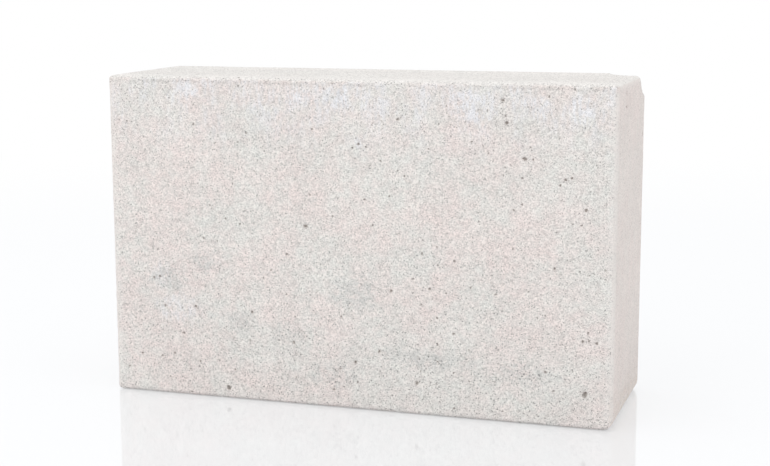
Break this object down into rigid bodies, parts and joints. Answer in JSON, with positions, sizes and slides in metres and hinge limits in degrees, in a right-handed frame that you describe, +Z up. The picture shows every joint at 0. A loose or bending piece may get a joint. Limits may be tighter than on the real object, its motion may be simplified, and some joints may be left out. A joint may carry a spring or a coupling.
{
  "type": "concrete foundation block",
  "caption": "Solid rectangular concrete block for foundation and basement walls, with worn arrises and a knocked-off top corner.",
  "frame": {"origin": "centre of the 380 x 120 mm bottom face that the block stands on", "axes": "+X along the length towards the right end, +Y from the front face to the back face, +Z up"},
  "size_m": [0.38, 0.12, 0.24],
  "materials": {
    "concrete": "fine granular cast concrete, pale warm grey, matt"
  },
  "bodies": {
    "root": {"foundation_block": "concrete"}
  },
  "joints": []
}
